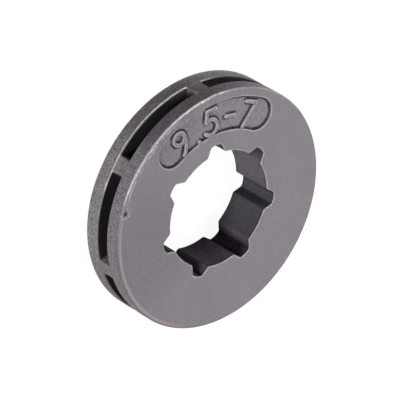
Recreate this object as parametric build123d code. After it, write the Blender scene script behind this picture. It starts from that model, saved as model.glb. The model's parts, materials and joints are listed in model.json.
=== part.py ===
"""Rim sprocket of a chainsaw: one disc of cast steel that drives the saw chain.

Two flat rims stand apart with teeth between them. The drive links of the chain drop into the
pockets between the teeth, and the side links run on the two rims. A splined bore slides on the
hub of the clutch drum. One face carries a raised size mark in a shallow curved panel: the chain
pitch in millimetres and the number of teeth.

Frame: the sprocket lies on its plain face. The axis of the bore is Z, the plain face is at Z = 0,
the marked face looks up, and the middle of the mark is on +Y. Sizes are in millimetres.
"""
from build123d import *
from math import degrees
import os

# Disc
outer_diameter = 35.2
rim_thickness = 2.3
slot_width = 2.0
rim_edge_radius = 0.2
slot_lip_radius = 0.1

# Teeth, and the pockets between them
tooth_count = 7
tooth_recess = 0.15
tooth_top_width = 2.25
tooth_root_width = 4.1
hub_wall = 1.9
pocket_corner_radius = 0.9

# Splined bore
bore_diameter = 17.0
groove_count = 7
groove_depth = 1.4
groove_mouth_width = 3.05
groove_root_width = 1.7
groove_mouth_radius = 0.3
groove_root_radius = 0.15
bore_chamfer = 0.15

# Curved panel, sunk in the marked face between the bore and the rim
panel_rim_margin = 1.3
panel_bore_margin = 1.7
panel_depth = 0.4

# Raised figures in the panel
figure_top_gap = 0.5
figure_foot_overlap = 0.1
figure_width = 2.4
figure_stroke = 0.62
bowl_radius = 1.15
bowl_start = 125
bowl_sweep = 265
figure_rise = 0.34
digit_advance = 3.5
point_advance = 1.9
dash_advance = 2.95

# Sizes that follow from those above
outer_radius = outer_diameter / 2
bore_radius = bore_diameter / 2
thickness = 2 * rim_thickness + slot_width
tooth_top_radius = outer_radius - tooth_recess
groove_root_reach = bore_radius + groove_depth
pocket_floor_radius = groove_root_reach + hub_wall
panel_outer_radius = outer_radius - panel_rim_margin
panel_inner_radius = groove_root_reach + panel_bore_margin
panel_width = panel_outer_radius - panel_inner_radius
panel_floor = thickness - panel_depth
figure_height = panel_width - figure_top_gap + figure_foot_overlap
figure_middle_radius = panel_inner_radius - figure_foot_overlap + figure_height / 2

# The middle of the mark, a groove and a tooth all lie in this direction
mark_angle = 90
near = 1e-4


def around(shape, count):
    """The shape, drawn along +X, repeated round the axis from the mark's direction."""
    return [Rot(0, 0, mark_angle + 360 * k / count) * shape for k in range(count)]


def corners_at(plan, radius):
    """The corners of a plan that lie at one radius."""
    return [v for v in plan.vertices() if abs(v.center().length - radius) < near]


def disc():
    """The solid of revolution: a disc with rounded rims and a shallow channel between them."""
    low_lip = rim_thickness
    high_lip = rim_thickness + slot_width
    lip_radius = min(slot_lip_radius, tooth_recess - near)
    section = make_face(
        Polyline(
            (0, 0),
            (outer_radius, 0),
            (outer_radius, low_lip),
            (tooth_top_radius, low_lip),
            (tooth_top_radius, high_lip),
            (outer_radius, high_lip),
            (outer_radius, thickness),
            (0, thickness),
            close=True,
        )
    )
    for height, radius in (
        (0, rim_edge_radius),
        (low_lip, lip_radius),
        (high_lip, lip_radius),
        (thickness, rim_edge_radius),
    ):
        rim = [v for v in section.vertices() if abs(v.X - outer_radius) < near and abs(v.Y - height) < near]
        section = fillet(rim, radius)
    return revolve(Plane.XZ * section, Axis.Z)


def wedge(near_radius, near_width, far_radius, far_width, run_on):
    """A symmetric outline along +X, given its width at two radii and run on past both of them."""
    flare = (far_width - near_width) / (far_radius - near_radius)
    inner = near_radius - run_on
    outer = far_radius + run_on
    inner_half = (near_width - flare * run_on) / 2
    outer_half = (far_width + flare * run_on) / 2
    return make_face(
        Polyline(
            (inner, -inner_half),
            (outer, -outer_half),
            (outer, outer_half),
            (inner, inner_half),
            close=True,
        )
    )


def pockets():
    """The spaces between the teeth, which take the drive links of the chain."""
    run_on = tooth_root_width / 2
    tooth = wedge(pocket_floor_radius, tooth_root_width, tooth_top_radius, tooth_top_width, run_on)
    plan = Circle(tooth_top_radius) - Circle(pocket_floor_radius) - around(tooth, tooth_count)
    plan = fillet(corners_at(plan, pocket_floor_radius), pocket_corner_radius)
    return Pos(0, 0, rim_thickness) * extrude(plan, slot_width)


def bore():
    """The splined bore, with grooves that narrow towards their roots."""
    groove = wedge(bore_radius, groove_mouth_width, groove_root_reach, groove_root_width, groove_depth)
    plan = Circle(bore_radius) + around(groove & Circle(groove_root_reach), groove_count)
    plan = fillet(corners_at(plan, groove_root_reach), groove_root_radius)
    plan = fillet(corners_at(plan, bore_radius), groove_mouth_radius)
    return extrude(plan, thickness)


def stroke(line):
    """A line thickened to the width of a figure's stroke, with round ends."""
    return SlotArc(line.edge(), figure_stroke)


def nine(across, up):
    """A loop and a tail. The middle line of a figure reaches across and up from its centre."""
    loop = Circle(across + figure_stroke / 2) - Circle(across - figure_stroke / 2)
    tail_start = (across, up - across)
    tail_foot = (-0.5 * across, -up)
    tail = stroke(TangentArc(tail_start, tail_foot, tangent=(0, -1)))
    return Pos(0, up - across) * loop + tail


def five(across, up):
    """A top bar, a short neck and an open bowl."""
    neck_top = (-0.7 * across, up)
    bowl = CenterArc((across - bowl_radius, bowl_radius - up), bowl_radius, bowl_start, -bowl_sweep)
    bar = stroke(Line((0.9 * across, up), neck_top))
    neck = stroke(Line(neck_top, bowl @ 0))
    return bar + neck + stroke(bowl)


def seven(across, up):
    """A top bar and a slanting stem."""
    corner = (across, up)
    return stroke(Line((-across, up), corner)) + stroke(Line(corner, (-0.4 * across, -up)))


def dash(across):
    """A short level bar."""
    return stroke(Line((-0.8 * across, 0), (0.8 * across, 0)))


def point(up):
    """A round dot on the line that the figures stand on."""
    return Pos(0, -up) * Circle(0.6 * figure_stroke)


def figures():
    """The figures of the mark in the order they are read, each with the room it takes up."""
    across = (figure_width - figure_stroke) / 2
    up = (figure_height - figure_stroke) / 2
    return [
        (nine(across, up), digit_advance),
        (point(up), point_advance),
        (five(across, up), digit_advance),
        (dash(across), dash_advance),
        (seven(across, up), digit_advance),
    ]


def turn(length):
    """The angle that a length along the line of the mark takes up."""
    return degrees(length / figure_middle_radius)


def mark(row):
    """The figures set along an arc, read clockwise, standing on the panel's floor."""
    place = -sum(advance for _, advance in row) / 2
    raised = []
    for figure, advance in row:
        plan = Rot(0, 0, -turn(place + advance / 2)) * Pos(0, figure_middle_radius) * figure
        raised.append(Pos(0, 0, panel_floor) * extrude(plan, figure_rise))
        place += advance
    return raised


def panel(row):
    """The curved panel, with round ends, as long as the row of figures."""
    sweep = turn(sum(advance for _, advance in row))
    middle = CenterArc((0, 0), (panel_inner_radius + panel_outer_radius) / 2, mark_angle - sweep / 2, sweep)
    return Pos(0, 0, panel_floor) * extrude(SlotArc(middle.edge(), panel_width), panel_depth)


def rim_sprocket():
    """The whole sprocket, one solid."""
    solid = disc() - pockets() - bore()
    faces = [e for e in solid.edges() if abs(e.center().Z) < near or abs(e.center().Z - thickness) < near]
    mouths = [e for e in faces if (e @ 0.5).X ** 2 + (e @ 0.5).Y ** 2 < (groove_root_reach + near) ** 2]
    solid = chamfer(mouths, bore_chamfer)
    row = figures()
    solid = solid - panel(row)
    for figure in mark(row):
        solid = solid + figure
    return solid


sprocket = rim_sprocket()
print("volume", sprocket.volume, "solids", len(sprocket.solids()), "valid", sprocket.is_valid)
print("box", sprocket.bounding_box())

os.makedirs("parts", exist_ok=True)
export_step(sprocket, "parts/rim_sprocket.step")
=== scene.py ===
# %% [markdown]
# # A rim sprocket for a chainsaw
#
# The object is one disc of cast steel, 35 mm across. Two rims stand apart with seven teeth
# between them, a splined bore goes through the middle, and one face carries raised figures in
# a curved panel. The steel was blasted with grit, so it is dull and grey, and handling has
# rubbed its edges bright.
#
# The solid model of the part is loaded first. It fixes the size and the place of everything,
# and the piece modelled here stands in for it with softer edges and a real surface.

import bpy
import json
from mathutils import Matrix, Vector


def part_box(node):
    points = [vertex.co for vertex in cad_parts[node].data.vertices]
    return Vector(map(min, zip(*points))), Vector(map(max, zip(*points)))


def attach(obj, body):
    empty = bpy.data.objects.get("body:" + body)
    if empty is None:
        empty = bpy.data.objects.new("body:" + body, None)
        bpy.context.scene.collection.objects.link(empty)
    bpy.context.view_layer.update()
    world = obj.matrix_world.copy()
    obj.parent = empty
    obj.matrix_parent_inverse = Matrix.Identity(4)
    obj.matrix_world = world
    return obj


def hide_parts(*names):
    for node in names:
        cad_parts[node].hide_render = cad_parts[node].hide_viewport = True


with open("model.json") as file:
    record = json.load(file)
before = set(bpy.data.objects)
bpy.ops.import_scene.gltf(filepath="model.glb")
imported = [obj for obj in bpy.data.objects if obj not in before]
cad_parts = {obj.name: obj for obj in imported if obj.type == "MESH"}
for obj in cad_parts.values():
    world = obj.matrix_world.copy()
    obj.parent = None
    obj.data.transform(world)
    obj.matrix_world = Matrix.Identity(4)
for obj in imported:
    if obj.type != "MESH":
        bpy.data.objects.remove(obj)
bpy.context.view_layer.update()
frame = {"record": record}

# %% [markdown]
# Blender's own modules do the modelling, and numpy does the sums over many vertices.

# %% Modules
import json
import math

import bmesh
import bpy
import numpy as np
from mathutils import Matrix, Vector
from mathutils.kdtree import KDTree

# %% [markdown]
# ## Sizes
#
# Two sizes come from the frame: how wide and how thick the disc is. The bore's radius comes
# from the part's record. The others are read off the drawing of the part. A sprocket is small,
# so it is modelled in millimetres, where Blender's tools have room to work, and shrunk to
# metres when its shape is finished.

# %% Sizes in millimetres
NODE = "rim_sprocket"
MM = 0.001
low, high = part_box(NODE)
outer_radius = (high.x - low.x) / 2 / MM
thickness = (high.z - low.z) / MM
mounts = {mount["name"]: mount for mount in frame["record"]["mounts"]}
bore_radius = mounts["hub_spline"]["dims"]["r_mm"]

slot_width = 2.0
rim_thickness = (thickness - slot_width) / 2
middle_height = thickness / 2
rim_edge_radius = 0.18
slot_lip_radius = 0.1

tooth_count = 7
step = 2 * math.pi / tooth_count
tooth_recess = 0.15
tooth_top_radius = outer_radius - tooth_recess
tooth_top_width = 2.25
tooth_root_width = 4.1

groove_depth = 1.4
groove_root_reach = bore_radius + groove_depth
groove_mouth_width = 3.05
groove_root_width = 1.7
groove_mouth_bevel = 0.16
groove_root_bevel = 0.07
bore_mouth_bevel = 0.12

hub_wall = 1.9
pocket_floor_radius = groove_root_reach + hub_wall
pocket_corner_bevel = 0.7
pocket_mouth_bevel = 0.35

panel_rim_margin = 1.3
panel_bore_margin = 1.7
panel_outer_radius = outer_radius - panel_rim_margin
panel_inner_radius = groove_root_reach + panel_bore_margin
panel_depth = 0.4
print("disc", round(outer_radius, 3), "thick", round(thickness, 3), "bore", bore_radius)

# %% [markdown]
# ## A few hand tools
#
# Blender's operators act on whatever is selected. These helpers select nothing first, and then
# only the faces or edges that lie where they should, so that each operator gets exactly what a
# person would have clicked on. Heights within a hundredth of a millimetre count as the same.

# %% Select, cut and copy
near = 0.01


def deselect():
    """Nothing is selected in the scene."""
    bpy.ops.object.select_all(action="DESELECT")


def only(piece):
    """Just this piece is selected and active."""
    deselect()
    piece.select_set(True)
    bpy.context.view_layer.objects.active = piece


def pick(piece, kind, test):
    """Opens the piece for editing with just the faces or edges that pass a test selected."""
    only(piece)
    bpy.ops.object.mode_set(mode="EDIT")
    bpy.ops.mesh.select_mode(type=kind)
    bpy.ops.mesh.select_all(action="DESELECT")
    bpy.ops.object.mode_set(mode="OBJECT")
    found = 0
    if kind == "FACE":
        for face in piece.data.polygons:
            face.select = test(face.center, face.normal)
            found += face.select
    else:
        for edge in piece.data.edges:
            start, end = (piece.data.vertices[i].co for i in edge.vertices)
            edge.select = test(start, end)
            found += edge.select
    bpy.ops.object.mode_set(mode="EDIT")
    return found


def every(centre, normal):
    """The test that every face passes."""
    return True


def is_level(start, end):
    """True for an edge that stays at one height."""
    return abs(start.z - end.z) < near


def is_upright(start, end):
    """True for an edge that climbs a millimetre or more."""
    return abs(start.z - end.z) > 1


def done():
    """Closes the edit."""
    bpy.ops.object.mode_set(mode="OBJECT")


def bevel(reach, segments):
    """Rounds the picked edges and closes the edit."""
    bpy.ops.mesh.bevel(offset=reach, segments=segments, affect="EDGES")
    done()


def apply_modifier(piece, kind, **settings):
    """Adds one modifier, sets it and applies it."""
    only(piece)
    modifier = piece.modifiers.new(kind.title(), kind)
    for name, value in settings.items():
        setattr(modifier, name, value)
    bpy.ops.object.modifier_apply(modifier=modifier.name)


def combine(piece, operation, tool):
    """Cuts the tool's shape out of the piece or adds it, and throws the tool away."""
    apply_modifier(piece, "BOOLEAN", operation=operation, solver="EXACT", object=tool)
    bpy.data.objects.remove(tool)


def turned_copy(piece, angle):
    """A copy with a mesh of its own, turned about the axis of the bore."""
    copy = piece.copy()
    copy.data = piece.data.copy()
    copy.data.transform(Matrix.Rotation(angle, 4, "Z"))
    bpy.context.scene.collection.objects.link(copy)
    return copy


def join(pieces):
    """Makes several pieces one object."""
    deselect()
    for piece in pieces:
        piece.select_set(True)
    bpy.context.view_layer.objects.active = pieces[0]
    bpy.ops.object.join()
    return pieces[0]


def faces_outward(piece):
    """Points every face of a closed shape outwards."""
    pick(piece, "FACE", every)
    bpy.ops.mesh.normals_make_consistent(inside=False)
    done()


def report(piece):
    """Prints how big the mesh is and whether it is closed."""
    mesh = bmesh.new()
    mesh.from_mesh(piece.data)
    loose = sum(len(edge.link_faces) != 2 for edge in mesh.edges)
    volume = round(mesh.calc_volume(), 2)
    print(piece.name, len(mesh.faces), "faces,", loose, "open edges, volume", volume)
    mesh.free()


# %% [markdown]
# ## The blank
#
# The real blank leaves its mould as a disc with rounded rims. A lathe profile would do here
# too, but a cylinder is quicker: its two outer edges are bevelled, two cuts mark off the band
# between the rims, and that band is pushed in a little, because the tops of the teeth lie
# lower than the rims that the chain runs on.

# %% Turn the blank
sides = 40 * tooth_count
deselect()
bpy.ops.mesh.primitive_cylinder_add(
    vertices=sides, radius=outer_radius, depth=thickness, location=(0, 0, middle_height)
)
sprocket = bpy.context.object
sprocket.name = "sprocket_casting"
bpy.ops.object.transform_apply(location=True)


def on_rim(start, end, heights):
    """True for an edge that runs round the outside at one of the heights."""
    at_height = is_level(start, end) and any(abs(start.z - height) < near for height in heights)
    return at_height and min(start.xy.length, end.xy.length) > outer_radius - near


pick(sprocket, "EDGE", lambda start, end: on_rim(start, end, (0, thickness)))
bpy.ops.mesh.bevel(offset=rim_edge_radius, segments=5, affect="EDGES")
lip_heights = (rim_thickness, rim_thickness + slot_width)
for height in lip_heights:
    bpy.ops.mesh.select_all(action="SELECT")
    bpy.ops.mesh.bisect(plane_co=(0, 0, height), plane_no=(0, 0, 1))
done()

band = pick(
    sprocket,
    "FACE",
    lambda centre, normal: abs(centre.z - middle_height) < 0.1 and abs(normal.z) < 0.1,
)
bpy.ops.mesh.extrude_region_move()
shrink = tooth_top_radius / outer_radius
bpy.ops.transform.resize(value=(shrink, shrink, 1), center_override=(0, 0, 0))
done()
lips = pick(sprocket, "EDGE", lambda start, end: on_rim(start, end, lip_heights))
bevel(slot_lip_radius, segments=3)
print("band of", band, "faces, lips of", lips, "edges")
report(sprocket)

# %% [markdown]
# ## The pockets
#
# The chain's drive links drop into seven pockets, and what is left between the pockets is the
# teeth. One pocket is drawn flat as part of a ring, trimmed along the flanks of the teeth on
# each side of it, and raised to the width of the slot. Its two inner corners are rounded, as
# a moulded pocket's are, and so are the corners of its opening beside each tooth. Seven turned
# copies cut the whole set.

# %% Cut the pockets
def trim(point, outward):
    """Cuts away what lies beyond a plane that stands along the axis of the bore."""
    bpy.ops.mesh.select_all(action="SELECT")
    bpy.ops.mesh.bisect(plane_co=point, plane_no=outward, clear_outer=True)


def pocket_cutter():
    """One pocket, with its middle on +Y. It runs on past the rim."""
    overrun = 1
    deselect()
    bpy.ops.mesh.primitive_circle_add(
        vertices=6 * tooth_count, radius=pocket_floor_radius, location=(0, 0, rim_thickness)
    )
    pocket = bpy.context.object
    bpy.ops.object.transform_apply(location=True)
    bpy.ops.object.mode_set(mode="EDIT")
    bpy.ops.mesh.select_all(action="SELECT")
    bpy.ops.mesh.extrude_region_move()
    reach = (outer_radius + overrun) / pocket_floor_radius
    bpy.ops.transform.resize(value=(reach, reach, 1), center_override=(0, 0, 0))
    for side in (-1, 1):
        along = Vector((side * math.sin(step / 2), math.cos(step / 2), 0))
        inward = Vector((-side * math.cos(step / 2), math.sin(step / 2), 0))
        root = along * pocket_floor_radius + inward * tooth_root_width / 2
        top = along * tooth_top_radius + inward * tooth_top_width / 2
        flank = (top - root).normalized()
        trim(root, Vector((side * flank.y, -side * flank.x, 0)))
    bpy.ops.mesh.select_all(action="SELECT")
    bpy.ops.mesh.extrude_region_move(TRANSFORM_OT_translate={"value": (0, 0, slot_width)})
    done()
    faces_outward(pocket)
    foot = [v.co for v in pocket.data.vertices if v.co.xy.length < pocket_floor_radius + 0.3]
    corner = max(abs(co.x) for co in foot)
    rounded = pick(
        pocket,
        "EDGE",
        lambda start, end: is_upright(start, end)
        and abs(abs(start.x) - corner) < 0.05
        and start.y < pocket_floor_radius,
    )
    bevel(pocket_corner_bevel, segments=4)
    mouths = pick(
        pocket,
        "EDGE",
        lambda start, end: is_level(start, end) and abs(start.xy.length - end.xy.length) > 3,
    )
    bevel(pocket_mouth_bevel, segments=3)
    print("pocket corners rounded:", rounded, "and corners of the opening:", mouths)
    return pocket


first_pocket = pocket_cutter()
report(first_pocket)
pocket_set = join([turned_copy(first_pocket, (k + 0.5) * step) for k in range(tooth_count)])
bpy.data.objects.remove(first_pocket)
combine(sprocket, "DIFFERENCE", pocket_set)
report(sprocket)

# %% [markdown]
# ## The splined bore
#
# The bore slides on the drum's hub, which has seven ribs. It could be drawn as a curve, but it
# is the same shape seven times, so one seventh is modelled: a groove is pulled out of a
# cylinder's side, narrowed at its root, rounded at its corners, and the seventh is cut free
# and copied round. The whole tool is then taken out of the disc.

# %% Cut the bore
def bore_cutter():
    """A plug of the bore's shape that runs on past both faces."""
    overrun = 1.0
    deselect()
    bpy.ops.mesh.primitive_cylinder_add(
        vertices=10 * tooth_count,
        radius=bore_radius,
        depth=thickness + 2 * overrun,
        location=(0, 0, middle_height),
    )
    seventh = bpy.context.object
    bpy.ops.object.transform_apply(location=True)
    pick(
        seventh,
        "FACE",
        lambda centre, normal: abs(normal.z) < 0.1
        and centre.y > 0
        and abs(centre.x) < groove_mouth_width / 2,
    )
    bpy.ops.mesh.extrude_region_move(TRANSFORM_OT_translate={"value": (0, groove_depth, 0)})
    narrowing = groove_root_width / groove_mouth_width
    bpy.ops.transform.resize(value=(narrowing, 1, 1), center_override=(0, 0, 0))
    done()
    for corner, reach in (
        (groove_mouth_width / 2, groove_mouth_bevel),
        (groove_root_width / 2, groove_root_bevel),
    ):
        pick(
            seventh,
            "EDGE",
            lambda start, end: is_upright(start, end)
            and start.y > 0
            and abs(abs(start.x) - corner) < 0.05,
        )
        bevel(reach, segments=4)
    pick(seventh, "FACE", every)
    for side in (-1, 1):
        trim((0, 0, 0), (side * math.cos(step / 2), -math.sin(step / 2), 0))
    done()
    plug = join([seventh] + [turned_copy(seventh, k * step) for k in range(1, tooth_count)])
    pick(plug, "FACE", every)
    bpy.ops.mesh.remove_doubles(threshold=near)
    bpy.ops.mesh.normals_make_consistent(inside=False)
    done()
    return plug


plug = bore_cutter()
report(plug)
combine(sprocket, "DIFFERENCE", plug)
report(sprocket)


def on_bore_mouth(start, end):
    """True for an edge of the bore's outline in either face."""
    in_face = is_level(start, end) and (start.z < near or start.z > thickness - near)
    return in_face and max(start.xy.length, end.xy.length) < groove_root_reach + 0.1


mouth = pick(sprocket, "EDGE", on_bore_mouth)
bevel(bore_mouth_bevel, segments=2)
print("bore mouth edges:", mouth)
report(sprocket)

# %% [markdown]
# ## The curved panel
#
# The panel is a shallow kidney-shaped recess in the marked face. Moulded recesses have walls
# that lean, or they wouldn't leave the mould. A section with leaning sides is spun about the
# axis of the bore, and a short cone at each end gives the round ends.

# %% Cut the panel
wall_lean = 0.05
clear_above = 0.4
figure_clearance = 0.4
figure_foot_overlap = 0.1
digit_advance = 3.5
point_advance = 1.9
dash_advance = 2.95
figure_height = panel_outer_radius - panel_inner_radius - figure_clearance
figure_middle_radius = panel_inner_radius - figure_foot_overlap + figure_height / 2
mark_length = 3 * digit_advance + point_advance + dash_advance
panel_sweep = mark_length / figure_middle_radius
panel_middle_radius = (panel_outer_radius + panel_inner_radius) / 2
panel_half_width = (panel_outer_radius - panel_inner_radius) / 2
panel_floor = thickness - panel_depth


def section(middle, half_low, half_high, bottom, top):
    """A flat trapezoid that stands on the line X = middle, facing along Y."""
    deselect()
    bpy.ops.mesh.primitive_plane_add(size=1, rotation=(math.pi / 2, 0, 0))
    shape = bpy.context.object
    shape.scale = (2 * half_low, top - bottom, 1)
    shape.location = (middle, 0, (bottom + top) / 2)
    bpy.ops.object.transform_apply(location=True, rotation=True, scale=True)
    pick(shape, "EDGE", lambda start, end: min(start.z, end.z) > top - near)
    spread = half_high / half_low
    bpy.ops.transform.resize(value=(spread, 1, 1), center_override=(middle, 0, top))
    done()
    return shape


def swept(shape, centre, angle, steps):
    """The section spun about an upright line, closed and facing outwards."""
    pick(shape, "FACE", every)
    bpy.ops.mesh.spin(steps=steps, angle=angle, center=centre, axis=(0, 0, 1))
    done()
    faces_outward(shape)
    return shape


def round_end(x, y, half_low, half_high, bottom, top):
    """A short upright cone."""
    deselect()
    bpy.ops.mesh.primitive_cone_add(
        vertices=48,
        radius1=half_low,
        radius2=half_high,
        depth=top - bottom,
        location=(x, y, (bottom + top) / 2),
    )
    bpy.ops.object.transform_apply(location=True)
    return bpy.context.object


panel_top = thickness + clear_above
half_floor = panel_half_width - wall_lean
half_top = panel_half_width + wall_lean * clear_above / panel_depth
panel_tool = section(panel_middle_radius, half_floor, half_top, panel_floor, panel_top)
panel_tool.data.transform(Matrix.Rotation(math.pi / 2 - panel_sweep / 2, 4, "Z"))
swept(panel_tool, (0, 0, 0), -panel_sweep, steps=36)
for side in (-1, 1):
    turn = side * panel_sweep / 2
    x = panel_middle_radius * math.sin(turn)
    y = panel_middle_radius * math.cos(turn)
    combine(panel_tool, "UNION", round_end(x, y, half_floor, half_top, panel_floor, panel_top))
report(panel_tool)
combine(sprocket, "DIFFERENCE", panel_tool)
report(sprocket)

# %% [markdown]
# ## The raised figures
#
# The mark gives the pitch of the chain in millimetres and the number of teeth, in plain figures
# that stand up from the panel's floor. Text could be typed, but a font's strokes are too sharp
# for a casting. Each stroke is a bar or a bend with leaning sides and round ends, as a mould
# maker would cut it.

# %% Strokes
stroke_low = 0.37
stroke_high = 0.27
stroke_width = 0.62
figure_rise = 0.34
figure_root = panel_floor - 0.3
figure_top = panel_floor + figure_rise
longest_step = 0.12


def bar(start, end):
    """A straight stroke with round ends."""
    start, end = Vector(start), Vector(end)
    line = end - start
    deselect()
    bpy.ops.mesh.primitive_cube_add(size=1)
    stroke = bpy.context.object
    stroke.scale = (line.length, 2 * stroke_low, figure_top - figure_root)
    bpy.ops.object.transform_apply(scale=True)
    pick(stroke, "FACE", lambda centre, normal: normal.z > 0.9)
    bpy.ops.transform.resize(value=(1, stroke_high / stroke_low, 1), center_override=(0, 0, 0))
    done()
    middle = (start + end) / 2
    stroke.rotation_euler = (0, 0, math.atan2(line.y, line.x))
    stroke.location = (middle.x, middle.y, (figure_top + figure_root) / 2)
    only(stroke)
    bpy.ops.object.transform_apply(location=True, rotation=True)
    return [stroke, knob(start), knob(end)]


def knob(place):
    """The round end of a stroke."""
    return round_end(place[0], place[1], stroke_low, stroke_high, figure_root, figure_top)


def bend(centre, radius, start, sweep):
    """A stroke along an arc, from a start angle through a sweep, with round ends."""
    stroke = section(radius, stroke_low, stroke_high, figure_root, figure_top)
    stroke.data.transform(Matrix.Rotation(start, 4, "Z"))
    stroke.data.transform(Matrix.Translation((centre[0], centre[1], 0)))
    steps = max(8, int(abs(sweep) * radius / longest_step))
    swept(stroke, (centre[0], centre[1], 0), -sweep, steps)
    ends = [
        (centre[0] + radius * math.cos(angle), centre[1] + radius * math.sin(angle))
        for angle in (start, start + sweep)
    ]
    return [stroke] + [knob(end) for end in ends]


# %% [markdown]
# The figures themselves are a few strokes each. A nine is a loop with a tail that leaves it
# straight down and curls in, and a five is a bar, a neck and an open bowl. The middle line of a
# figure reaches so far across, and so far up, from its centre.

# %% Figures
across = 0.89
up = (figure_height - stroke_width) / 2


def nine():
    """A loop with a curved tail that starts straight down from the loop's right side."""
    foot_x = -0.5 * across
    drop = 2 * up - across
    reach = across - foot_x
    tail_radius = (drop * drop + reach * reach) / (2 * reach)
    tail_angle = math.asin(drop / tail_radius)
    loop = bend((0, up - across), across, 0, 2 * math.pi)
    return loop + bend((across - tail_radius, up - across), tail_radius, 0, -tail_angle)


def five():
    """A bar, a neck and a bowl that runs on under the figure."""
    bowl_radius = 1.15
    bowl = (across - bowl_radius, bowl_radius - up)
    bowl_start = math.radians(125)
    bowl_sweep = math.radians(265)
    neck_foot = (
        bowl[0] + bowl_radius * math.cos(bowl_start),
        bowl[1] + bowl_radius * math.sin(bowl_start),
    )
    neck_top = (-0.7 * across, up)
    parts = bar(neck_top, (0.9 * across, up)) + bar(neck_top, neck_foot)
    return parts + bend(bowl, bowl_radius, bowl_start, -bowl_sweep)


def seven():
    """A bar and a slanting stem."""
    corner = (across, up)
    return bar((-across, up), corner) + bar(corner, (-0.4 * across, -up))


def dash():
    """A short level bar."""
    return bar((-0.8 * across, 0), (0.8 * across, 0))


def point():
    """A dot on the line that the figures stand on."""
    return [knob((0, -up))]


row = [
    (nine, digit_advance),
    (point, point_advance),
    (five, digit_advance),
    (dash, dash_advance),
    (seven, digit_advance),
]
along_mark = -mark_length / 2
strokes = []
for figure, advance in row:
    turn = -(along_mark + advance / 2) / figure_middle_radius
    setting = Matrix.Rotation(turn, 4, "Z") @ Matrix.Translation((0, figure_middle_radius, 0))
    for stroke in figure():
        stroke.data.transform(setting)
        strokes.append(stroke)
    along_mark += advance
print("strokes:", len(strokes))
sprocket = join([sprocket] + strokes)

# %% [markdown]
# ## From machined to cast
#
# So far every edge is as sharp as a drawing. A casting has no sharp edge, and the blasting
# rounds what is left. Remeshing in small cubes melts the disc and the figures into one skin,
# and a few rounds of smoothing soften each edge by about a tenth of a millimetre.

# %% Melt and soften
voxel = 0.09
apply_modifier(sprocket, "REMESH", mode="VOXEL", voxel_size=voxel, adaptivity=0)
apply_modifier(sprocket, "SMOOTH", factor=0.5, iterations=3)
report(sprocket)

# %% [markdown]
# ## Where the steel wears and where shade is painted
#
# Handling rubs the outer edges of a steel part bright, and its inner corners are painted dark
# as shade. So the finish needs to know how far each place is from the nearest outer edge and
# from the nearest inner corner. Both are measured on the fine mesh, where a vertex on an edge
# stands out from its neighbours and one in a corner lies below them.

# %% Find edges and corners
def relief(piece):
    """The vertices, and how far each stands out of its neighbours' middle, in millimetres."""
    mesh = piece.data
    count = len(mesh.vertices)
    points = np.empty(count * 3)
    mesh.vertices.foreach_get("co", points)
    points = points.reshape(-1, 3)
    normals = np.empty(count * 3)
    mesh.vertex_normals.foreach_get("vector", normals)
    normals = normals.reshape(-1, 3)
    ends = np.empty(len(mesh.edges) * 2, dtype=int)
    mesh.edges.foreach_get("vertices", ends)
    one, other = ends.reshape(-1, 2).T
    neighbours = np.bincount(one, minlength=count) + np.bincount(other, minlength=count)

    def average(values):
        total = np.bincount(one, weights=values[other], minlength=count)
        total += np.bincount(other, weights=values[one], minlength=count)
        return total / neighbours

    middle = np.stack([average(points[:, k]) for k in range(3)], axis=1)
    out = ((points - middle) * normals).sum(axis=1)
    return points, average(out)


def tree_of(points):
    """A search tree of points."""
    tree = KDTree(len(points))
    for k, point in enumerate(points):
        tree.insert(point, k)
    tree.balance()
    return tree


least_relief = 0.004
points, out = relief(sprocket)
on_edge, in_corner = out > least_relief, out < -least_relief
edges, corners = tree_of(points[on_edge]), tree_of(points[in_corner])
print("vertices on edges:", int(on_edge.sum()), "in corners:", int(in_corner.sum()))

# %% [markdown]
# The faces of the disc are flat and need few vertices, so decimating gives most of them back.
# The panel does need its own, because shade is painted there from vertex to vertex, and a
# vertex group keeps it out of the thinning.

# %% Thin the mesh and measure it
most_triangles = 190000
kept = sprocket.vertex_groups.new(name="panel")
in_panel = [
    vertex.index
    for vertex in sprocket.data.vertices
    if panel_floor - 0.05 < vertex.co.z < thickness - 0.02
    and panel_inner_radius - 0.2 < vertex.co.xy.length < panel_outer_radius + 0.2
]
kept.add(in_panel, 1.0, "REPLACE")
full = 2 * len(sprocket.data.polygons)
apply_modifier(
    sprocket,
    "DECIMATE",
    decimate_type="COLLAPSE",
    ratio=min(1, most_triangles / full),
    vertex_group="panel",
    invert_vertex_group=True,
)
print("vertices kept in the panel:", len(in_panel))
report(sprocket)
for name, nearest in (("edge_distance", edges), ("corner_distance", corners)):
    layer = sprocket.data.attributes.new(name, "FLOAT", "POINT")
    distances = [nearest.find(vertex.co)[2] for vertex in sprocket.data.vertices]
    layer.data.foreach_set("value", distances)
    print(name, "middle value", round(float(np.median(distances)), 2), "mm")

# %% [markdown]
# The shape is finished, so it shrinks to metres. The frame is told two things about it: it
# rides on the root body, and it is shown in place of the part's one node.

# %% Shrink to metres
sprocket.data.transform(Matrix.Scale(MM, 4))
only(sprocket)
bpy.ops.object.shade_smooth()
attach(sprocket, "root")
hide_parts(NODE)
places = [vertex.co.x for vertex in sprocket.data.vertices]
print(sprocket.name, "is", round(max(places) - min(places), 4), "m across")
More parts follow.
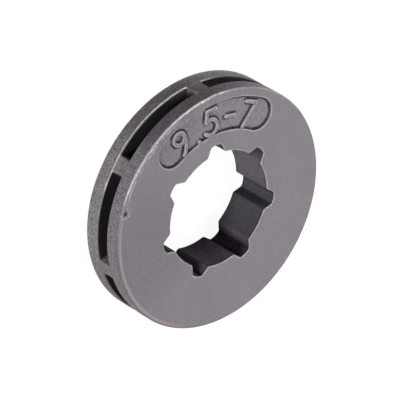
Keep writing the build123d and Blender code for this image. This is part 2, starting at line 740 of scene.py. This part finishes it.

# %% [markdown]
# ## The finish
#
# The steel is dull grey from blasting and tempering, nearly even on the ground faces and
# speckled on the cast sides. The slot and each inner corner are painted dark as shade, and the
# bore is darker than the faces. The outer edges are rubbed to bare metal. One material does all
# of this from the two distances and from the place on the disc.
#
# Such a material is a long sum, and a sum is easiest to read as one. A field is a number that
# varies over the surface. Adding or multiplying fields adds the nodes that do it. The larger
# of two fields is written with a bar, which lays one mask over another, and the smaller with
# an ampersand.

# %% Node helpers
class Field:
    """A number, place or colour that varies over a surface: one output in a node tree."""

    def __init__(self, output):
        self.output = output
        self.tree = output.id_data

    def sum(self, operation, *values):
        """One sum on fields and numbers."""
        made = node(self.tree, "Math", dict(enumerate(values)), operation=operation)
        return Field(made.outputs[0])

    def __add__(self, other):
        return self.sum("ADD", self, other)

    def __mul__(self, other):
        return self.sum("MULTIPLY", self, other)

    def __sub__(self, other):
        return self.sum("SUBTRACT", self, other)

    def __rsub__(self, other):
        return self.sum("SUBTRACT", other, self)

    def __or__(self, other):
        return self.sum("MAXIMUM", self, other)

    def __and__(self, other):
        return self.sum("MINIMUM", self, other)

    def __abs__(self):
        return self.sum("ABSOLUTE", self)

    __radd__ = __add__
    __rmul__ = __mul__


def fill(entry, value):
    """Links a field to a node's input, or sets the input to a plain value."""
    if isinstance(value, Field):
        value.tree.links.new(value.output, entry)
    else:
        entry.default_value = value


def node(tree, kind, inputs=None, **settings):
    """Adds one node, sets it up and fills its inputs."""
    made = tree.nodes.new("ShaderNode" + kind)
    for name, value in settings.items():
        setattr(made, name, value)
    for name, value in (inputs or {}).items():
        fill(made.inputs[name], value)
    return made


def vectors(operation, output, first, *others):
    """One sum on places or colours. Its output is called Vector or Value."""
    inputs = dict(enumerate((first, *others)))
    return Field(node(first.tree, "VectorMath", inputs, operation=operation).outputs[output])


def ramp(field, zero, one):
    """Goes smoothly from 0 where the field is at zero to 1 where it is at one."""
    inputs = {"Value": field, "From Min": zero, "From Max": one}
    made = node(field.tree, "MapRange", inputs, interpolation_type="SMOOTHSTEP")
    return Field(made.outputs["Result"])


def tint(share, first, second):
    """A blend of two colours, all of the second where the share is 1."""
    made = node(share.tree, "Mix", data_type="RGBA")
    for name, value in zip(("Factor", "A", "B"), (share, first, second)):
        fill([x for x in made.inputs if x.name == name and x.enabled][0], value)
    return Field([x for x in made.outputs if x.enabled][0])


def lighten(colour, amount):
    """A colour made lighter or darker by a factor."""
    factors = node(colour.tree, "CombineXYZ", {0: amount, 1: amount, 2: amount})
    return vectors("MULTIPLY", "Vector", colour, Field(factors.outputs[0]))


# %% [markdown]
# ### Where a place lies on the disc
#
# The material asks a few plain questions of each place: how far is it from the axis, how high
# up, does it look up or sideways, and how far off are the nearest edge and inner corner. All
# lengths are in millimetres again. A direction on the disc is an angle from +X, and the mark
# is at 90 degrees.

# %% Places and noise
steel = bpy.data.materials.new("blasted_steel")
steel.use_nodes = True
tree = steel.node_tree
shader = tree.nodes["Principled BSDF"]

coordinates = node(tree, "TexCoord")
place = vectors("MULTIPLY", "Vector", Field(coordinates.outputs["Object"]), (1 / MM,) * 3)
normal = node(tree, "SeparateXYZ", {"Vector": Field(coordinates.outputs["Normal"])})
level = abs(Field(normal.outputs["Z"]))
upright = ramp(level, 0.8, 0.4)
xyz = node(tree, "SeparateXYZ", {"Vector": place})
across_x, along_y, height = (Field(xyz.outputs[axis]) for axis in "XYZ")
radius = vectors("LENGTH", "Value", vectors("MULTIPLY", "Vector", place, (1, 1, 0)))
from_middle = abs(height - middle_height)
below_face = thickness - height
corner = Field(node(tree, "Attribute", attribute_name="corner_distance").outputs["Fac"])
edge = Field(node(tree, "Attribute", attribute_name="edge_distance").outputs["Fac"])


def speckle(size, detail, roughness=0.5):
    """Noise from 0 to 1 whose grains are about one size."""
    inputs = {"Vector": place, "Scale": 1 / size, "Detail": detail, "Roughness": roughness}
    return Field(node(tree, "TexNoise", inputs).outputs["Fac"])


def facing(azimuth, zero, one):
    """A mask for one side of the disc, by how far out a place lies in that direction."""
    angle = math.radians(azimuth)
    direction = (math.cos(angle), math.sin(angle), 0)
    return ramp(vectors("DOT_PRODUCT", "Value", place, direction), zero, one)


def under_rim(zero, one):
    """A mask for a ring of the disc, by how far a place lies inside the rim."""
    return ramp(radius, outer_radius - zero, outer_radius - one)


def off_slot(zero, one):
    """A mask for a band along the slot, by how far a place lies outside its width."""
    return ramp(from_middle, slot_width / 2 + zero, slot_width / 2 + one)


def distance(x, y, z):
    """How far a place lies from a point."""
    return vectors("DISTANCE", "Value", place, (x, y, z))


past_bore = ramp(radius, groove_root_reach + 0.12, groove_root_reach + 0.02)
in_bore = past_bore * ramp(from_middle, middle_height - 0.04, middle_height - 0.15)
in_panel = ramp(below_face, 0.03, 0.08) * (1 - upright)
in_panel = in_panel * ramp(radius, panel_inner_radius - 0.3, panel_inner_radius)

clouds = speckle(6.0, 3.0)
mottles = speckle(1.4, 2.0)
blasting = speckle(0.6, 1.0)
grain = speckle(0.3, 3.0, 0.6)
fine = speckle(0.14, 2.0)
ragged = 0.2 * (grain - 0.5)
print("nodes for the places and the noise:", len(tree.nodes))

# %% [markdown]
# ### Grey of the faces and the sides
#
# The ground face is a cool, slightly purple grey. The cast sides are rougher and more neutral,
# and the rim by the plain face is the lighter of the two. Painted shade darkens the sides
# beside the mark, warm there and plum a little to the left of it, and darkens the lower side;
# painted light lightens the sides to the right of the mark. The face is a little darker on the
# left. Low on the left, a narrow line just inside the rim is painted paler as a highlight, and
# the very edge beside it is painted darker as shade.

# %% Greys
face_grey = (0.232, 0.213, 0.234, 1)
rim_grey = (0.240, 0.219, 0.238, 1)
rear_grey = (0.279, 0.259, 0.266, 1)
# Two darker greys, painted shade for the sides beside the mark.
warm_shade_grey = (0.150, 0.133, 0.127, 1)
plum_shade_grey = (0.124, 0.108, 0.126, 1)
# The pink grey is a painted highlight.
pink_highlight_grey = (0.335, 0.292, 0.308, 1)

rear = ramp(height, middle_height + 0.6, middle_height - 0.8)
plum = facing(117, 15.8, 17.2) * (1 - 0.4 * rear)
# Painted shade on the sides beside the mark, in the warm and plum shade greys.
painted_side_shade = facing(108, 15.8, 17.3) * (0.75 - 0.2 * rear)
side = tint(painted_side_shade, tint(rear, rim_grey, rear_grey), tint(plum, warm_shade_grey, plum_shade_grey))
# Painted shade on the lower side, more on the rear rim.
lower_side_shade = ramp(along_y, 1, -8) * (0.06 + 0.2 * rear)
side = lighten(side, 1 - lower_side_shade)
# Painted light on the sides to the right of the mark, and low on the rear rim there.
painted_side_light = 0.65 * facing(45, 14.5, 17.2) * (1 - rear)
painted_side_light = painted_side_light + 0.4 * facing(62, 14.6, 16.9) * rear
painted_side_light = painted_side_light + 0.5 * facing(78, 14.6, 16.9) * ramp(height, 1.3, 0.4)
side = lighten(side, 1 + painted_side_light)
grey = tint(upright, face_grey, side)

cloud = ramp(distance(-13.0, -1.0, thickness), 13, 3)
patch = ramp(distance(-6.5, 14.8, thickness), 5.5, 2) * (mottles + 0.5)
darker = (0.13 * cloud + 0.12 * patch) * (1 - upright)
cast = (upright * (1 - 0.7 * in_bore)) | (0.25 * in_panel)
shade = 1 + 0.14 * (clouds - 0.5) + 0.12 * (mottles - 0.5) + 0.14 * (blasting - 0.5)
shade = shade + (grain - 0.5) * (0.4 + 2.2 * cast) - darker
grey = lighten(grey, shade)

lower_left = facing(201, 11.5, 15.5)
# Painted highlight: a pale line just inside the rim, low on the left.
pale_highlight_line = under_rim(0.74, 0.50) * under_rim(0.16, 0.35) * lower_left * (1 - upright)
grey = tint(pale_highlight_line, grey, pink_highlight_grey)
# Painted shade on the very edge beside the pale line.
shaded_edge = under_rim(0.20, 0.06) * ramp(below_face, 0.5, 0.2) * lower_left
grey = lighten(grey, 1 - 0.32 * shaded_edge)
print("nodes with the greys:", len(tree.nodes))

# %% [markdown]
# ### Painted shade and a pit
#
# The slot is painted nearly black as shade, deepest down the flanks of the teeth and less deep
# near the mark. Painted shade also fills the inner corners of the panel, the figures and the
# grooves, and darkens the bore just under its mouth. The rim has one small pit with a scar
# beside it.

# %% Dark places
# Near black, for painted shade and for the pit.
black_for_shade_and_pits = (0.011, 0.010, 0.012, 1)

on_rims = under_rim(0.7, 0.4)
within_slot = off_slot(0.12, 0.03)
below_tops = ramp(radius, tooth_top_radius - 0.3, tooth_top_radius - 1.6)
slot_wall = ramp(level, 0.5, 0.85) * under_rim(0.10, 0.22)
in_slot = within_slot * (below_tops | slot_wall)
in_slot = in_slot * ramp(radius, pocket_floor_radius - 0.9, pocket_floor_radius - 0.4)
# Painted shade: the slot is near black, deepest down the tooth flanks and less near the mark.
slot_shade = in_slot * (0.955 - 0.28 * facing(72, 13.5, 16.5))

from_corner = corner + ragged
# Painted shade along the inner corners.
corner_shade = ramp(from_corner, 0.24, 0.06) * (mottles + 0.4) * under_rim(0.3, 0.8)
# Painted shade in the corners of the bore's grooves.
groove_shade = in_bore * ramp(from_corner, 0.6, 0.15) * mottles
# Painted shade in the bore just under its mouth.
shade_under_mouth = in_bore * ramp(below_face, 0.45, 0.25)

to_pit = distance(-15.92, 5.80, thickness)
pit = ramp(to_pit + 1.5 * ragged, 0.46, 0.2)
scar = ramp(distance(-15.97, 6.30, thickness) + 1.5 * ragged, 0.4, 0.15)
in_pit = pit | (0.5 * scar)

dark = slot_shade | (0.85 * corner_shade) | (0.8 * in_pit)
dark = dark | (0.35 * shade_under_mouth) | (0.9 * groove_shade)
print("nodes with the dark places:", len(tree.nodes))

# %% [markdown]
# ### Rubbed edges
#
# The edges of the rims are rubbed bright where the sprocket was handled most, to the left of
# the mark, with a few scratches and sparks on the face beside them. The lip of the front rim
# is out of reach, while the lip of the rear rim is worn wider. The edges inside the rims, such
# as those of the panel, are painted a little lighter as highlights, and one tooth has a small
# painted highlight spot.

# %% Bright places
bare = (0.80, 0.77, 0.78, 1)

wear = facing(118, 13.2, 16.0) | (0.25 * facing(62, 15.0, 17.0) * (1 - rear))
wear = 0.9 * wear + (0.14 - 0.1 * rear)
patchy = 0.05 + 1.6 * speckle(2.2, 1.0)
by_slot = off_slot(0.5, 0.3)
dull_by_mark = ramp(distance(0, outer_radius, rim_thickness), 1.5, 1.0)
dull_at_left = ramp(distance(-14.4, 10.1, rim_thickness), 2.0, 1.0)
dull_lip = (by_slot * (1 - rear)) | dull_by_mark | (0.7 * dull_at_left)
rim_wear = on_rims * wear * patchy * (1.15 + 0.8 * rear * within_slot) * (1 - dull_lip)
# Painted highlight: edges inside the rims are made lighter bare metal.
inner_edge_highlight = 0.4 * (1 - on_rims) * (1 - in_bore)
wear = (rim_wear & 1) | inner_edge_highlight

wider_lip = 0.05 * by_slot * rear * on_rims
along_edge = ramp(edge - wider_lip + 1.5 * ragged, 0.11, -0.03)
rubbed = along_edge * wear * (1 - in_slot) * (1 - 0.85 * off_slot(0, -0.12))

scratches = under_rim(0.66, 0.56) * ramp(speckle(0.7, 1.0), 0.4, 0.6)
sparks = under_rim(1.4, 0.6) * ramp(speckle(0.3, 1.0), 0.58, 0.72)
by_a_face = ramp(from_middle, middle_height - 0.3, middle_height - 0.1)
scratched = (0.4 * scratches) | (0.35 * sparks)
scratched = scratched * under_rim(0.40, 0.48) * by_a_face * facing(134, 14.6, 16.4)
rubbed = rubbed | scratched

flecks = ramp(speckle(0.2, 1.0), 0.52, 0.68)
around_pit = ramp(to_pit, 1.0, 0.7) * ramp(to_pit, 0.35, 0.5) * flecks
rubbed = rubbed * ramp(to_pit, 0.4, 0.8)
# Painted highlight: a small bright spot on one tooth.
highlight_spot_on_tooth = ramp(distance(-1.35, 17.4, 4.0), 0.8, 0.1) * grain
rubbed = rubbed | (0.7 * around_pit) | highlight_spot_on_tooth
print("nodes with the bright places:", len(tree.nodes))

# %% [markdown]
# ### The shader
#
# The grey steel is oxidised, so it is hardly metallic. Where it is rubbed the metal shows and
# shines. The grain also dents the surface, more on the cast sides than on the ground face.
# The bore has greys of its own and turns to plum at the foot of the disc. Painted light makes
# it a little lighter towards 20 degrees, and painted shade darkens it towards -30 degrees and
# in its grooves. A brown stain follows the edges on the lower left.

# %% Blasted steel
bore_grey = (0.132, 0.122, 0.138, 1)
bore_plum = (0.132, 0.110, 0.136, 1)
stain_brown = (0.10, 0.07, 0.075, 1)
dent_depth = 0.03

in_groove = ramp(radius, bore_radius + 0.15, bore_radius + 0.6)
# Painted light on the bore wall towards 20 degrees, painted shade towards -30 degrees and in
# the grooves.
bore_shade = shade * (1 + 0.25 * facing(20, 6.0, 8.3)) * (1 - 0.25 * facing(-30, 6.3, 8.4))
bore_shade = bore_shade * (1 - 0.25 * in_groove)
bore_colour = tint(facing(-95, 6.0, 8.3), bore_grey, bore_plum)
colour = tint(in_bore, grey, lighten(bore_colour, bore_shade))

stain = ramp(edge + ragged, 0.14, 0.02) * on_rims
stain = stain * ramp(along_y, 2, -3) * ramp(across_x, 0, -6)
colour = tint(0.5 * stain, colour, stain_brown)
colour = tint(dark, colour, black_for_shade_and_pits)
colour = tint(rubbed, colour, bare)

dents = grain * (cast + 0.2) + 0.2 * fine - 2.5 * in_pit
bump = node(tree, "Bump", {"Height": dents, "Distance": dent_depth * MM, "Strength": 1.0})

fill(shader.inputs["Base Color"], colour)
fill(shader.inputs["Metallic"], 0.9 * rubbed)
fill(shader.inputs["Roughness"], 0.65 - 0.3 * rubbed)
fill(shader.inputs["Specular IOR Level"], 0.2 * (1 - (dark | in_bore)))
fill(shader.inputs["Normal"], Field(bump.outputs["Normal"]))
sprocket.data.materials.clear()
sprocket.data.materials.append(steel)
print("nodes in the steel:", len(tree.nodes))

# %% [markdown]
# ## Floor, light and camera
#
# The floor is white paper. Its own colour is mid grey, so that it throws little light back at
# the steel, and a glow that only the camera and reflections see makes it white. The shadow of
# the sprocket stays on it, faintly.

# %% Lay the floor
paper_grey = (0.18, 0.18, 0.18, 1)
glow_strength = 0.91

deselect()
bpy.ops.mesh.primitive_plane_add(size=4)
floor = bpy.context.object
floor.name = "floor"
paper = bpy.data.materials.new("white_paper")
paper.use_nodes = True
tree = paper.node_tree
sheet = tree.nodes["Principled BSDF"]
fill(sheet.inputs["Base Color"], paper_grey)
fill(sheet.inputs["Roughness"], 0.9)
fill(sheet.inputs["Specular IOR Level"], 0)
rays = node(tree, "LightPath")
camera_ray, glossy_ray, transmission_ray = (
    Field(rays.outputs[f"Is {kind} Ray"]) for kind in ("Camera", "Glossy", "Transmission")
)
seen = camera_ray + glossy_ray + transmission_ray
glow = node(tree, "Emission", {"Strength": glow_strength * seen})
both = node(tree, "AddShader", {0: Field(sheet.outputs[0]), 1: Field(glow.outputs[0])})
fill(tree.nodes["Material Output"].inputs["Surface"], Field(both.outputs[0]))
floor.data.materials.append(paper)
print("floor glows at", glow_strength)

# %% [markdown]
# Four square lamps light the steel as on a photographer's table: a low key light beside the
# camera, a close fill light high on the far side, a small glint for the rubbed edges, and a
# weak light from the back. A white world adds a little light from everywhere.

# %% Set the lights
def direction(azimuth, elevation):
    """The way to a light or a camera, from two angles in degrees."""
    a, e = math.radians(azimuth), math.radians(elevation)
    return Vector((math.cos(a) * math.cos(e), math.sin(a) * math.cos(e), math.sin(e)))


def lamp(name, azimuth, elevation, away, size, brightness):
    """A square area lamp that lights a matt face turned to it at the given brightness."""
    towards = direction(azimuth, elevation)
    deselect()
    bpy.ops.object.light_add(type="AREA", location=towards * away)
    light = bpy.context.object
    light.name = name
    light.data.size = size
    light.data.energy = brightness * math.pi**2 * away**2
    light.rotation_euler = towards.to_track_quat("Z", "Y").to_euler()
    print("lamp", name, round(light.data.energy, 2), "W")


lamp("key", azimuth=180, elevation=28, away=0.7, size=0.25, brightness=0.76)
lamp("fill", azimuth=-20, elevation=62, away=0.22, size=0.12, brightness=0.62)
lamp("glint", azimuth=79, elevation=40, away=0.7, size=0.12, brightness=0.075)
lamp("back", azimuth=35, elevation=20, away=0.7, size=0.25, brightness=0.2)
world = bpy.data.worlds.new("studio")
bpy.context.scene.world = world
world.use_nodes = True
sky = world.node_tree.nodes["Background"]
fill(sky.inputs["Color"], (1, 1, 1, 1))
fill(sky.inputs["Strength"], 0.05)

# %% [markdown]
# In the photo the sprocket stands up with nothing under it. Here it lies on its plain face, so
# the camera looks down on it and is rolled about its own line of sight until the disc stands up
# in the picture. A long lens keeps the perspective flat, as in a product photo.

# %% Set the camera
lens = 319.2
film_width = 36
camera_distance = 475.3 * MM
aim = Vector((-3.25, 2.78, thickness)) * MM
roll = math.radians(120.22)
towards = direction(136.17, 42.04)
deselect()
bpy.ops.object.camera_add(location=aim + towards * camera_distance)
camera = bpy.context.object
camera.data.lens = lens
camera.data.sensor_width = film_width
turned = towards.to_track_quat("Z", "Y").to_matrix() @ Matrix.Rotation(roll, 3, "Z")
camera.rotation_euler = turned.to_euler()
camera.data.clip_start = 0.01
bpy.context.scene.camera = camera
bpy.context.scene.view_settings.view_transform = "Standard"
print("camera at", [round(v, 4) for v in camera.location])
